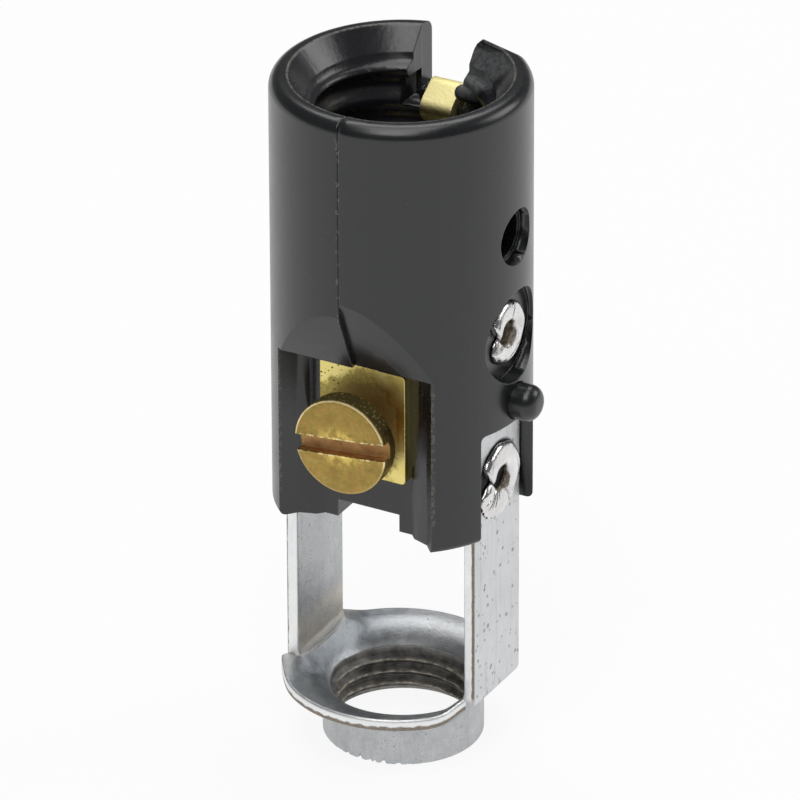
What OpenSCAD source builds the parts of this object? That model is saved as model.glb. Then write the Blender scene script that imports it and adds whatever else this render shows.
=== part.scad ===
// Candelabra lamp holder: a two-part moulded body riveted to a sheet-metal bracket.
// Z is up the lamp's axis from the lower face of the bracket's hub. The halves part on x = 0.
// The terminals face -Y and +Y, and the bracket's legs lie at -X and +X.

/* [Body] */
// Diameter of the moulded body
body_d = 18; // [17.6:0.1:18.6]
// Length of the body from its feet to its rim
body_len = 32.4; // [31.5:0.1:36]
// Height of the body's feet above the hub's lower face
body_lift = 18.4; // [14:0.1:24]
// Radius of the rounded rim
rim_round = 1; // [0.4:0.1:1.2]
// Radius of the rounded edge under the feet
foot_round = 0.5; // [0.2:0.1:0.8]
// Height of the arch between the feet
arch_h = 1.3; // [0.8:0.1:2]
// Width of the wire passage between the feet
arch_w = 4.8; // [3:0.1:5.4]

/* [Lamp socket] */
// Mouth diameter at the rim
mouth_d = 15.4; // [14.8:0.1:15.6]
// Depth of the bevel that leads a lamp into the mouth
mouth_h = 1.6; // [0.8:0.1:2]
// Diameter of the bevel's lower edge, and of the plain throat below it
mouth_low_d = 12.9; // [12.6:0.1:13.2]
// Length of the plain throat
throat_len = 0.5; // [0.3:0.1:0.8]
// Length of the bevel that leads from the throat into the thread
lead_len = 0.4; // [0.2:0.1:0.6]
// Diameter at the bottom of the moulded thread's grooves
thread_root_d = 12.3; // [12:0.1:12.4]
// Diameter over the crests of the moulded thread
thread_crest_d = 11.2; // [10.9:0.1:11.6]
// Pitch of the moulded thread
thread_pitch = 2.54; // [2.2:0.02:2.8]
// Length of the moulded thread
thread_len = 8.8; // [6.5:0.1:9]
// Depth of the socket's floor below the rim
socket_depth = 15; // [14.4:0.1:15.2]

/* [Rim notch] */
// Reach of the notch into the left half
notch_left = 2.35; // [2:0.05:3]
// Reach of the notch into the right half
notch_right = 1.9; // [1.7:0.05:2.6]
// Depth of the notch below the rim
notch_depth = 4.8; // [4:0.1:6]
// Depth of the flat outside the rim beside the notch, in from the body's side
rim_flat_cut_in = 1; // [0.6:0.05:1.2]
// Distance from the axis to the flat inside the mouth beside the notch
rim_flat_in = 7.25; // [7:0.05:7.4]
// Depth of the outer flat below the rim
rim_flat_depth = 4.6; // [4:0.1:5]
// Radius of the outer flat's upper edge
rim_flat_round = 0.6; // [0.2:0.1:0.9]
// Direction of both flats, counted from +X
rim_flat_turn = 72; // [66:1:76]
// Radius of the right half's corner at the top of the notch
notch_round = 0.9; // [0.4:0.1:1.1]
// Reach of the pocket beside the fold into the left half, past the notch
fold_room = 0.3; // [0.2:0.05:0.4]
// Height of that pocket
fold_room_h = 1.9; // [1.6:0.1:2.2]
// Depth of its top below the rim
fold_room_drop = 3.25; // [3:0.05:3.5]
// Wall left outside it
fold_room_wall = 1.85; // [1.6:0.05:2.2]
// Diameter of the nub that keeps the side contact back
nub_d = 1.2; // [0.8:0.1:1.4]
// Distance from the side contact's riser in to the nub's centre line
nub_in = 1.9; // [1.6:0.05:2.1]
// Depth of the nub's centre line below the rim
nub_drop = 3.4; // [3:0.1:3.8]

/* [Terminal recesses] */
// Height of each recess above the feet
recess_h = 13.1; // [12.6:0.1:13.6]
// Depth of each recess's floor below the body's side
recess_depth = 4.15; // [3.9:0.05:4.4]
// Reach of the step beside the recess's flat floor
step_out = 0.4; // [0.2:0.05:0.6]
// Fall of that step
step_fall = 0.45; // [0.2:0.05:0.6]
// Reach of the ledge past the step
ledge_out = 1.2; // [0.8:0.1:1.5]
// Fall of the ledge
ledge_fall = 0.4; // [0.2:0.05:0.6]
// Reach of the outer slope past the ledge
slope_out = 0.9; // [0.5:0.1:1.2]
// Fall of the outer slope
slope_fall = 1; // [0.6:0.1:1.4]
// Width of the pocket that takes the wire round the screw
pocket_w = 8.6; // [8:0.1:9.4]
// Rise of the ramp above the recess on the right half
ramp_rise_right = 5.7; // [4:0.1:6.5]
// Rise of the ramp above the recess on the left half
ramp_rise_left = 4.7; // [3.5:0.1:6.5]
// Depth of the right half's lip below the body's side
lip_right = 2.4; // [1.7:0.05:2.7]
// Depth of the left half's lip below the body's side
lip_left = 1.95; // [1.7:0.05:2.7]

/* [Contacts] */
// Thickness of the brass sheet
brass_t = 0.8; // [0.6:0.05:0.9]
// Width of each terminal plate
plate_w = 6.6; // [6:0.1:7.2]
// Height of each terminal plate
plate_h = 8.3; // [7.6:0.1:8.8]
// Distance from the screw down to the plate's lower edge
plate_below = 3.6; // [3.4:0.1:3.8]
// Corner radius of each terminal plate
plate_round = 0.3; // [0.2:0.1:1]
// Width of the strip that rises from each plate
strip_w = 2.4; // [2:0.1:2.6]
// Lap of each strip on its plate
strip_lap = 1; // [0.6:0.1:2]
// Bend radius of the strips, at the middle of the sheet
strip_bend = 0.8; // [0.7:0.05:0.9]
// Bend radius of the side contact's folds, at the middle of the sheet
fold_bend = 0.5; // [0.48:0.02:0.6]
// Clearance round the brass in the moulding
brass_gap = 0.1; // [0.05:0.05:0.15]
// Rise of the centre leaf above the socket's floor, before it bends
leaf_rise = 0.5; // [0.3:0.1:0.8]
// Angle of the centre leaf's first bend
leaf_turn = 76; // [70:1:80]
// Length of the centre leaf between its bends
leaf_run = 4.6; // [4:0.1:5]
// Angle of the bend at the leaf's end
leaf_end_turn = 36; // [10:1:45]
// Length of the leaf's end
leaf_end = 0.8; // [0.4:0.1:1.2]
// Wall left outside the side contact's channel
riser_wall = 1.3; // [1.2:0.05:1.5]
// Rise of the side contact above the socket's floor, before it is set out
jog_rise = 0.2; // [0.1:0.05:0.4]
// Angle at which the side contact is set out to its riser
set_out = 40; // [34:1:50]
// Depth of the side contact's top below the rim
fold_drop = 3.5; // [3.4:0.1:3.8]
// Angle of the side contact's fold
fold_turn = 125; // [118:1:134]
// Length of the face that presses on the lamp's shell
fold_run = 1.3; // [1:0.1:1.5]
// Angle of the tuck under that face
tuck_turn = 95; // [60:1:100]
// Length of the tucked end
tuck_run = 0.7; // [0.3:0.1:0.9]

/* [Terminal screws] */
// Head diameter
head_d = 7; // [6.4:0.1:7.4]
// Head thickness
head_h = 1.6; // [1.3:0.1:1.8]
// Width of the driver slot
slot_w = 1.2; // [0.8:0.1:1.4]
// Depth of the driver slot
slot_h = 0.8; // [0.5:0.05:0.9]
// Bevel at the head's edges
head_edge = 0.15; // [0.05:0.05:0.25]
// Turn of the front screw's slot
slot_turn = 6; // [-90:1:90]
// Turn of the rear screw's slot
rear_slot_turn = -20; // [-90:1:90]
// Shank diameter
shank_d = 3.4; // [3:0.1:3.5]
// Shank length under the head
shank_len = 3.6; // [3.4:0.1:3.7]
// Gap between head and plate with the screw backed out
head_gap = 1.65; // [1:0.05:1.7]
// Height of the screws above the body's feet
screw_h = 7.8; // [7.6:0.1:8.2]
// Running clearance of the shank in its plate, on the radius
shank_gap = 0.05; // [0.03:0.01:0.08]
// Clearance of the shank in the moulding, on the radius
bore_gap = 0.3; // [0.2:0.05:0.4]
// Room past the tip of a screw that is driven home
tip_gap = 0.2; // [0.1:0.05:0.3]

/* [Rivets and stud] */
// Rivet shank diameter
rivet_d = 2.6; // [2.2:0.1:2.8]
// Clearance of the rivets in their holes, on the radius
rivet_gap = 0.05; // [0.02:0.01:0.1]
// Height of the upper rivet above the body's feet
upper_rivet_h = 14.6; // [14.5:0.1:15]
// Height of the lower rivet above the body's feet
lower_rivet_h = 3.3; // [3.1:0.1:3.6]
// Diameter of the clinched head in the counterbore
upper_clinch_d = 4.6; // [4:0.1:5]
// Diameter of the clinched head on the leg
lower_clinch_d = 5.2; // [4.6:0.1:5.6]
// Height of the clinched heads
clinch_h = 0.55; // [0.4:0.05:0.8]
// Diameter of the hollow end of each rivet
clinch_bore_d = 1.7; // [1.2:0.1:1.9]
// Depth of the hollow below the clinched head
clinch_bore_h = 1; // [0.6:0.1:1.4]
// Width of the wide split in each clinched head, at its edge
split_w = 1.5; // [0.8:0.1:2]
// Width of the narrow split, at its edge
crack_w = 0.4; // [0.3:0.05:0.6]
// Angle between the splits
crack_turn = 100; // [70:5:140]
// Diameter of the factory heads
rivet_head_d = 4.8; // [4.2:0.1:5.2]
// Height of the factory heads
rivet_head_h = 0.8; // [0.5:0.05:0.9]
// Diameter of the counterbores round the upper rivet
counterbore_d = 6.84; // [6.2:0.02:7]
// Depth of the counterbores below the body's side
counterbore_depth = 1.1; // [0.9:0.05:1.4]
// Diameter of the stud that joins the halves
stud_d = 2.6; // [2.2:0.1:2.8]
// Height of the stud above the body's feet
stud_h = 9.6; // [9.5:0.1:9.7]
// Reach of the stud past the body
stud_out = 1.7; // [1.2:0.1:2.2]
// Radius of the stud's rounded end
stud_round = 0.9; // [0.4:0.1:1.1]
// Diameter of the empty hole's mouth
hole_d = 4.1; // [3.6:0.1:4.4]
// Diameter of the empty hole's inner step
hole_low_d = 3.5; // [3:0.1:3.6]
// Depth of the empty hole's mouth below the body's side
hole_step = 1; // [0.6:0.1:1.2]
// Whole depth of the empty hole
hole_depth = 2.1; // [1.6:0.1:2.2]
// Height of the empty hole above the body's feet
hole_h = 22.1; // [21.5:0.1:22.6]

/* [Bracket] */
// Thickness of the bracket's sheet
steel_t = 0.9; // [0.8:0.05:1]
// Width of each leg
leg_w = 6.5; // [6:0.1:7]
// Distance over the outer faces of the legs
legs_over = 14.9; // [14.6:0.1:15.2]
// Height of the legs' tops above the body's feet
leg_in = 7.9; // [7.4:0.1:8]
// Rise of the sheet above the flange at each leg's foot
foot_rise = 0.9; // [0.6:0.1:1.2]
// Width beside each leg over which that rise falls away
foot_rise_run = 1.3; // [1:0.1:1.6]
// Clearance beside each leg in its slot
leg_gap = 0.5; // [0.3:0.05:0.6]
// Clearance above each leg in its slot
leg_top_gap = 0.3; // [0.2:0.05:0.5]
// Radius of the slot's upper corners
leg_slot_round = 0.4; // [0.2:0.1:0.6]
// Diameter of the round flange
flange_d = 16.2; // [15.8:0.1:16.6]
// Offset of the flange's round edge from the axis, towards the left leg
flange_shift = 0.6; // [0:0.05:0.7]
// Offset of the flange's round edge from the axis, towards the rear
flange_back = 0.25; // [0:0.05:0.3]
// Diameter of the drawn dish's upper edge
dish_d = 15.4; // [15:0.1:15.6]
// Radius of the dish's curved wall
dish_round = 3.5; // [3.3:0.1:3.8]
// Diameter of the bore that the dish runs down to
throat_d = 10.2; // [10.1:0.05:10.4]
// Outside diameter of the hub
hub_d = 11.3; // [11:0.02:11.8]
// Height of the hub under the flange
hub_h = 3.8; // [3.2:0.05:5]
// Radius of the bevel at the hub's lower edge
hub_bevel = 0.2; // [0.1:0.05:0.25]

/* [Hidden] */
$fn = 64;
PHENOLIC = [0.13, 0.135, 0.14];
BRASS = [0.85, 0.76, 0.38];
DULL_BRASS = [0.66, 0.53, 0.24];
ZINC = [0.72, 0.75, 0.78];
NICKEL = [0.86, 0.86, 0.88];
// Overrun of a cutter past the face that it opens
past = 1;
body_r = body_d / 2;
rim_z = body_lift + body_len;
roof_z = body_lift + recess_h;
socket_z = rim_z - socket_depth;
screw_z = body_lift + screw_h;
upper_rivet_z = body_lift + upper_rivet_h;
lower_rivet_z = body_lift + lower_rivet_h;
stud_z = body_lift + stud_h;
notch_z = rim_z - notch_depth;
floor_y = body_r - recess_depth;
floor_half = plate_w / 2 + brass_gap;
riser_y = body_r - riser_wall - brass_gap - brass_t / 2;
nub_y = riser_y - nub_in;
counterbore_x = body_r - counterbore_depth;
leg_out_x = legs_over / 2;
leg_in_x = leg_out_x - steel_t;
leg_top_z = body_lift + leg_in;
flange_z = hub_h + steel_t;
// Centre of the dish's curved wall, which is as thick as the sheet
dish_z = flange_z - dish_round;
throat_z = dish_z + sqrt(pow(dish_round, 2) - pow((dish_d - throat_d) / 2, 2));
// Centre of the rounded foot of each leg, which runs on from the dish's underside
foot_z = dish_z + sqrt(pow(dish_round, 2) - pow(dish_d / 2 - leg_in_x, 2));
foot_x = leg_in_x + steel_t * (dish_d / 2 - leg_in_x) / dish_round;
// Top of the raised sheet at the legs, and the radius by which the dish runs up to it
rise_z = flange_z + foot_rise;
rise_round = (pow((dish_d - throat_d) / 2, 2) + pow(rise_z - throat_z, 2)) / (rise_z - throat_z) / 2;
// Reach of the flange's ears past the legs' outer faces
ear_out = 0.25;
plate_y = floor_y + brass_t;
strip_y = floor_y + brass_t / 2;
plate_low_z = screw_z - plate_below;
// Lower end of the strips, where they lap on the plates
strip_low_z = plate_low_z + plate_h - strip_lap;
head_y = plate_y + head_gap;
bore_r = shank_d / 2 + bore_gap;
// The screw's tip, driven home, stops short of the bore's end
bore_y = head_y - head_gap - shank_len - tip_gap;
thread_top_z = rim_z - mouth_h - throat_len;
thread_low_z = thread_top_z - thread_len;
// Height of a crest at +X, below the rim
crest_drop = 3.35;
// Facets of the thread: steps round a half turn, and rings in one pitch
thread_steps = 24;
thread_rings = 8;
// Overrun of the thread's cutter above and below
thread_past = 0.4;

// Keeps one half of what it holds: side is -1 for the left and 1 for the right
module half(side) {
    intersection() {
        children();
        translate([side < 0 ? -2 * body_r : 0, -2 * body_r, 0])
            cube([2 * body_r, 4 * body_r, 2 * rim_z]);
    }
}

// A straight cylinder along +X from x0 to x1 at height z
module bar_x(d, x0, x1, z) {
    translate([x0, 0, z]) rotate([0, 90, 0]) cylinder(h = x1 - x0, d = d);
}

// The same shape in front and behind
module front_and_back() {
    children();
    mirror([0, 1, 0]) children();
}

// The solid of both halves, with its rounded rim
module blank() {
    translate([0, 0, body_lift]) rotate_extrude() {
        translate([0, foot_round]) square([body_r, body_len - rim_round - foot_round]);
        square([body_r - foot_round, body_len - rim_round]);
        square([body_r - rim_round, body_len]);
        translate([body_r - rim_round, body_len - rim_round]) circle(r = rim_round);
        translate([body_r - foot_round, foot_round]) circle(r = foot_round);
    }
}

// Bevel of the mouth and the throat below it, with the flat beside the notch on the right half
module mouth_cut(side) {
    difference() {
        rotate_extrude() polygon([[0, thread_top_z - lead_len],
            [thread_crest_d / 2, thread_top_z - lead_len], [mouth_low_d / 2, thread_top_z],
            [mouth_low_d / 2, rim_z - mouth_h], [mouth_d / 2, rim_z], [mouth_d / 2, rim_z + past],
            [0, rim_z + past]]);
        if (side > 0) rotate([0, 0, rim_flat_turn])
            translate([rim_flat_in, -body_r, thread_top_z - past])
                cube([body_r, 2 * body_r, mouth_h + 3 * past]);
    }
}

// Radius of the moulded thread at an angle and a height: a round wave that climbs with the angle
function thread_r(turn, z) =
    let(mid = (thread_root_d + thread_crest_d) / 4, swing = (thread_root_d - thread_crest_d) / 4)
    mid - swing * cos(360 * (z - rim_z + crest_drop) / thread_pitch - turn);

// Core of the moulded thread on one side: stacked rings that reach a little past the parting plane
module thread_cut(side) {
    rings = ceil(thread_len / thread_pitch * thread_rings);
    per = thread_steps + 3;
    points = [for (i = [0:rings], j = [0:per - 1])
        let(z = thread_low_z - thread_past + (thread_len + 2 * thread_past) * i / rings,
            turn = (side > 0 ? -90 : 90) + (j - 1) * 180 / thread_steps,
            r = thread_r(turn, z))
        [r * cos(turn), r * sin(turn), z]];
    walls = [for (i = [0:rings - 1], j = [0:per - 1])
        let(a = i * per + j, b = i * per + (j + 1) % per)
        each [[a, a + per, b + per], [a, b + per, b]]];
    low = [for (j = [0:per - 1]) j];
    high = [for (j = [per - 1:-1:0]) rings * per + j];
    polyhedron(points = points, faces = concat(walls, [low, high]), convexity = 8);
}

// The whole lamp socket of one half
module socket_cut(side) {
    mouth_cut(side);
    thread_cut(side);
    translate([0, 0, socket_z]) cylinder(h = thread_low_z - socket_z, d = thread_crest_d);
}

// Open notch in the rim, and the channel for the side contact below it
module notch_cut() {
    translate([-notch_left, thread_crest_d / 2 - past, notch_z])
        cube([notch_left + notch_right, body_r, notch_depth + past]);
    channel_w = strip_w + 2 * brass_gap;
    translate([-channel_w / 2, strip_y, socket_z])
        cube([channel_w, riser_y + brass_t / 2 + brass_gap - strip_y, notch_z - socket_z + past]);
}

// Flat outside the rim beside the notch, with its upper edge rounded
module rim_flat_cut() {
    round_x = body_r - rim_flat_cut_in - rim_flat_round;
    rotate([0, 0, rim_flat_turn]) translate([round_x, body_r, rim_z]) rotate([90, 0, 0])
        linear_extrude(height = 2 * body_r) difference() {
            translate([0, -rim_flat_depth]) square([body_r, rim_flat_depth + past]);
            translate([-past, -rim_flat_depth - past])
                square([rim_flat_round + past, rim_flat_depth + past - rim_flat_round]);
            translate([0, -rim_flat_round]) circle(r = rim_flat_round);
        }
}

// Rounded corner where the notch meets the rim on the right half
module notch_round_cut() {
    translate([notch_right + notch_round, 2 * body_r, rim_z - notch_round]) rotate([90, 0, 0])
        linear_extrude(height = 2 * body_r) difference() {
            translate([-notch_round - past, 0]) square([notch_round + past, notch_round + past]);
            circle(r = notch_round);
        }
}

// Pocket beside the contact's fold, in the left half
module fold_room_cut() {
    translate([-notch_left - fold_room, thread_crest_d / 2 - past, rim_z - fold_room_drop - fold_room_h])
        cube([notch_left, body_r - fold_room_wall - thread_crest_d / 2 + past, fold_room_h]);
}

// Plan of a terminal recess: a floor as wide as the plate, with a step, a ledge and a slope on each side
module recess_plan() {
    step = [floor_half + step_out, floor_y + step_fall];
    ledge = step + [ledge_out, ledge_fall];
    edge = ledge + [slope_out, slope_fall];
    far = 2 * body_r;
    polygon([[floor_half, -floor_y], [step.x, -step.y], [ledge.x, -ledge.y], [edge.x, -edge.y],
        [far, -edge.y - (far - edge.x)], [far, -far], [-far, -far], [-far, -edge.y - (far - edge.x)],
        [-edge.x, -edge.y], [-ledge.x, -ledge.y], [-step.x, -step.y], [-floor_half, -floor_y]]);
}

// Front terminal recess: stepped plan, wire pocket, screw bore and ramp to the body's side
module recess_cut(side) {
    rise = side > 0 ? ramp_rise_right : ramp_rise_left;
    run = side > 0 ? lip_right : lip_left;
    lip = body_r - run;
    translate([0, 0, body_lift - past]) linear_extrude(height = recess_h + past) recess_plan();
    rotate([90, 0, 0]) {
        translate([0, screw_z, floor_y]) cylinder(h = body_r, d = pocket_w);
        translate([-pocket_w / 2, screw_z, floor_y]) cube([pocket_w, roof_z - screw_z, body_r]);
        translate([0, screw_z, bore_y]) cylinder(h = body_r, r = bore_r);
    }
    // The ramp runs on past the side at the same slope
    rotate([90, 0, 90]) translate([0, 0, -body_r]) linear_extrude(height = 2 * body_r)
        polygon([[-lip, roof_z], [-body_r - run, roof_z + 2 * rise], [-body_r - run, roof_z - past],
            [-lip, roof_z - past]]);
}

// Points along the middle of a folded strip, each with its heading, for a list of
// [straight run, bend radius, bend angle]. Heading 0 is up, and a positive angle bends towards +Y.
function folds(steps, at, heading, i = 0) =
    i >= len(steps) ? [] :
    let(run = steps[i][0], r = steps[i][1], turn = steps[i][2],
        side = turn < 0 ? -1 : 1,
        end = at + run * [sin(heading), cos(heading)],
        hub = end + side * r * [cos(heading), -sin(heading)],
        parts = ceil(abs(turn) / 15),
        arc = [for (k = [1:parts]) let(now = heading + turn * k / parts)
            [hub - side * r * [cos(now), -sin(now)], now]])
    concat([[at, heading]], [[end, heading]], turn == 0 ? [] : arc,
        folds(steps, turn == 0 ? end : arc[parts - 1][0], heading + turn, i + 1));

// A strip of sheet, w wide and t thick, folded from a point in the plane of Y and Z
module folded_strip(w, t, steps, at) {
    path = folds(steps, at, 0);
    // Points that repeat at the ends of the bends are left out
    keep = [for (k = [0:len(path) - 1])
        if (k == 0 || norm(path[k][0] - path[k - 1][0]) > 0.001) path[k]];
    rotate([90, 0, 90]) translate([0, 0, -w / 2]) linear_extrude(height = w) polygon(concat(
        [for (k = keep) k[0] + t / 2 * [cos(k[1]), -sin(k[1])]],
        [for (n = [len(keep) - 1:-1:0]) let(k = keep[n]) k[0] - t / 2 * [cos(k[1]), -sin(k[1])]]));
}

// Slot for a strip between the recess's roof and the socket's floor
module strip_slot_cut() {
    translate([-strip_w / 2 - brass_gap, -strip_y - brass_t / 2 - brass_gap, roof_z - past])
        cube([strip_w + 2 * brass_gap, brass_t + 2 * brass_gap, socket_z - roof_z + 3 * past]);
}

// Slot for a leg of the bracket on the right, open at the feet and the side
module leg_slot_cut() {
    side = leg_w / 2 + leg_gap;
    top = leg_in + leg_top_gap;
    translate([leg_in_x, 0, body_lift]) rotate([90, 0, 90]) linear_extrude(height = body_r) {
        translate([-side, -past]) square([2 * side, top - leg_slot_round + past]);
        translate([leg_slot_round - side, -past]) square([2 * (side - leg_slot_round), top + past]);
        for (y = [leg_slot_round - side, side - leg_slot_round])
            translate([y, top - leg_slot_round]) circle(r = leg_slot_round);
    }
}

// Everything that is cut from one half alike
module shared_cuts(side) {
    socket_cut(side);
    notch_cut();
    front_and_back() recess_cut(side);
    front_and_back() strip_slot_cut();
    mirror([side < 0 ? 1 : 0, 0, 0]) {
        leg_slot_cut();
        bar_x(rivet_d + 2 * rivet_gap, -past, body_r + past, upper_rivet_z);
        bar_x(rivet_d + 2 * rivet_gap, -past, body_r + past, lower_rivet_z);
        bar_x(counterbore_d, counterbore_x, body_r + past, upper_rivet_z);
    }
    translate([-arch_w / 2, -body_r, body_lift - past]) cube([arch_w, 2 * body_r, arch_h + past]);
}

// The stud, with its rounded end
module stud() {
    tip_x = body_r + stud_out;
    rotate([0, 90, 0]) translate([-stud_z, 0, -stud_d]) rotate_extrude() {
        square([stud_d / 2, tip_x + stud_d - stud_round]);
        square([stud_d / 2 - stud_round, tip_x + stud_d]);
        intersection() {
            translate([stud_d / 2 - stud_round, tip_x + stud_d - stud_round]) circle(r = stud_round);
            square([stud_d, 2 * tip_x]);
        }
    }
}

module body_left() {
    color(PHENOLIC) {
        difference() {
            half(-1) blank();
            shared_cuts(-1);
            fold_room_cut();
        }
        stud();
    }
}

// The nub that points at the left half, with its rounded end
module nub() {
    tip_x = strip_w / 2 + brass_gap;
    translate([0, nub_y, rim_z - nub_drop]) {
        translate([tip_x + nub_d / 2, 0, 0]) {
            sphere(d = nub_d);
            rotate([0, 90, 0]) cylinder(h = body_r / 2 - tip_x, d = nub_d);
        }
    }
}

module body_right() {
    color(PHENOLIC) {
        difference() {
            half(1) blank();
            shared_cuts(1);
            rim_flat_cut();
            notch_round_cut();
            bar_x(stud_d + 2 * rivet_gap, -past, body_r + past, stud_z);
            bar_x(hole_d, body_r - hole_step, body_r + past, body_lift + hole_h);
            bar_x(hole_low_d, body_r - hole_depth, body_r, body_lift + hole_h);
        }
        nub();
    }
}

// One leg on the right, with its foot rounded outside
module leg() {
    translate([0, leg_w / 2, 0]) rotate([90, 0, 0]) linear_extrude(height = leg_w) {
        translate([leg_in_x, foot_z]) square([steel_t, leg_top_z - foot_z]);
        intersection() {
            translate([leg_in_x, foot_z]) circle(r = steel_t);
            translate([leg_in_x - steel_t, foot_z - steel_t]) square([2 * steel_t, steel_t]);
        }
    }
}

// Half section of the sheet that spreads from the hub to the flange, with its curved underside
module sheet_profile() {
    difference() {
        translate([0, dish_z]) square([2 * body_r, dish_round]);
        translate([dish_d / 2, dish_z]) circle(r = dish_round - steel_t);
        translate([dish_d / 2, dish_z - past]) square([2 * body_r, dish_round - steel_t + past]);
    }
}

// Half section of the dish's cutter
module dish_profile() {
    difference() {
        translate([0, dish_z]) square([dish_d / 2, dish_round + past]);
        translate([dish_d / 2, dish_z]) circle(r = dish_round);
    }
}

// Half section of the raised sheet, from the middle of the sheet below it
module rise_profile() {
    mid = dish_round - steel_t / 2;
    difference() {
        union() {
            intersection() {
                translate([dish_d / 2, rise_z - rise_round]) circle(r = rise_round);
                translate([0, dish_z]) square([dish_d / 2, rise_z - dish_z]);
            }
            translate([dish_d / 2, dish_z]) square([2 * body_r, rise_z - dish_z]);
        }
        translate([dish_d / 2, dish_z]) circle(r = mid);
        translate([dish_d / 2, dish_z - past]) square([2 * body_r, mid + past]);
    }
}

// The raised sheet in line with the legs, which falls away on both sides of them
module raised_sheet() {
    side = leg_w / 2;
    intersection() {
        rotate_extrude() rise_profile();
        rotate([90, 0, 90]) translate([0, 0, -body_r]) linear_extrude(height = 2 * body_r)
            polygon([[-side - foot_rise_run, dish_z], [-side - foot_rise_run, flange_z], [-side, rise_z],
                [side, rise_z], [side + foot_rise_run, flange_z], [side + foot_rise_run, dish_z]]);
    }
}

// Plan of the room outside one leg's foot, where the flange stops beside the leg
module foot_room() {
    side = leg_w / 2;
    out = leg_out_x + ear_out;
    far = flange_d;
    polygon([[foot_x, -side], [out, -side], [far, out - far - side], [far, far - out + side], [out, side],
        [foot_x, side]]);
}

module bracket() {
    color(ZINC) difference() {
        union() {
            for (turn = [0, 180]) rotate([0, 0, turn]) leg();
            // Hub
            cylinder(h = hub_bevel, d1 = hub_d - 2 * hub_bevel, d2 = hub_d);
            translate([0, 0, hub_bevel]) cylinder(h = hub_h - hub_bevel, d = hub_d);
            // Flange, whose round edge stands off the axis, with the dish drawn in it
            difference() {
                intersection() {
                    translate([-flange_shift, flange_back, dish_z - past])
                        cylinder(h = rise_z - dish_z + 2 * past, d = flange_d);
                    union() {
                        rotate_extrude() difference() {
                            sheet_profile();
                            dish_profile();
                        }
                        raised_sheet();
                    }
                }
                for (turn = [0, 180]) rotate([0, 0, turn])
                    linear_extrude(height = 2 * flange_z) foot_room();
            }
        }
        translate([0, 0, -past]) cylinder(h = flange_z + 2 * past, d = throat_d);
        bar_x(rivet_d + 2 * rivet_gap, -body_r, body_r, lower_rivet_z);
    }
}

// A wedge that opens outwards from inside the clinched ring
module split(r, w) {
    root = (clinch_bore_d + r) / 3;
    polygon([[root, 0], [2 * r, w * (2 * r - root) / (r - root) / 2],
        [2 * r, -w * (2 * r - root) / (r - root) / 2]]);
}

// Semi-tubular rivet along +X from its factory head at x0 to its clinched head at x1
module rivet(x0, x1, clinch_d, z) {
    span = x1 - x0;
    ring_r = clinch_h / 2;
    translate([x0, 0, z]) rotate([0, 90, 0]) difference() {
        union() {
            cylinder(h = span + clinch_h / 2, d = rivet_d);
            // Factory head, a low dome
            dome_r = (rivet_head_d * rivet_head_d / 4 + rivet_head_h * rivet_head_h) / (2 * rivet_head_h);
            rotate_extrude() intersection() {
                translate([0, -rivet_head_h]) square([rivet_head_d / 2, rivet_head_h]);
                translate([0, dome_r - rivet_head_h]) circle(r = dome_r);
            }
            // Clinched head, rolled over into a ring
            translate([0, 0, span]) rotate_extrude() {
                translate([clinch_bore_d / 2 + ring_r, 0])
                    square([(clinch_d - clinch_bore_d) / 2 - 2 * ring_r, clinch_h]);
                translate([clinch_bore_d / 2 + ring_r, ring_r]) circle(r = ring_r);
                translate([clinch_d / 2 - ring_r, ring_r]) circle(r = ring_r);
                translate([clinch_bore_d / 2, 0]) square([(clinch_d - clinch_bore_d) / 2 - ring_r, ring_r]);
            }
        }
        translate([0, 0, span - clinch_bore_h])
            cylinder(h = clinch_bore_h + clinch_h + past, d = clinch_bore_d);
        // Splits in the rolled ring: a wide one towards -Y and a narrow one
        translate([0, 0, span - past]) linear_extrude(height = clinch_h + 2 * past) {
            rotate(-90) split(clinch_d / 2, split_w);
            rotate(-90 - crack_turn) split(clinch_d / 2, crack_w);
        }
    }
}

module upper_rivet() {
    color(NICKEL) rivet(-counterbore_x, counterbore_x, upper_clinch_d, upper_rivet_z);
}

module lower_rivet() {
    color(NICKEL) rivet(-leg_out_x, leg_out_x, lower_clinch_d, lower_rivet_z);
}

// Terminal plate behind the front screw, tapped for it
module terminal_plate() {
    rotate([90, 0, 0]) translate([0, 0, floor_y]) difference() {
        linear_extrude(height = brass_t) union() {
            low = plate_low_z + plate_round;
            high = plate_low_z + plate_h - plate_round;
            side = plate_w / 2 - plate_round;
            translate([-plate_w / 2, low]) square([plate_w, high - low]);
            translate([-side, plate_low_z]) square([2 * side, plate_h]);
            for (x = [-side, side], z = [low, high]) translate([x, z]) circle(r = plate_round);
        }
        translate([0, screw_z, -past]) cylinder(h = brass_t + 2 * past, r = shank_d / 2 + shank_gap);
    }
}

// Front plate with its strip folded in as a leaf under the lamp's tip
module centre_contact() {
    leaf_z = socket_z + leaf_rise;
    color(BRASS) {
        terminal_plate();
        folded_strip(strip_w, brass_t, at = [-strip_y, strip_low_z], steps =
            [[leaf_z - strip_low_z, strip_bend, leaf_turn], [leaf_run, strip_bend, leaf_end_turn],
             [leaf_end, 0, 0]]);
    }
}

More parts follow.
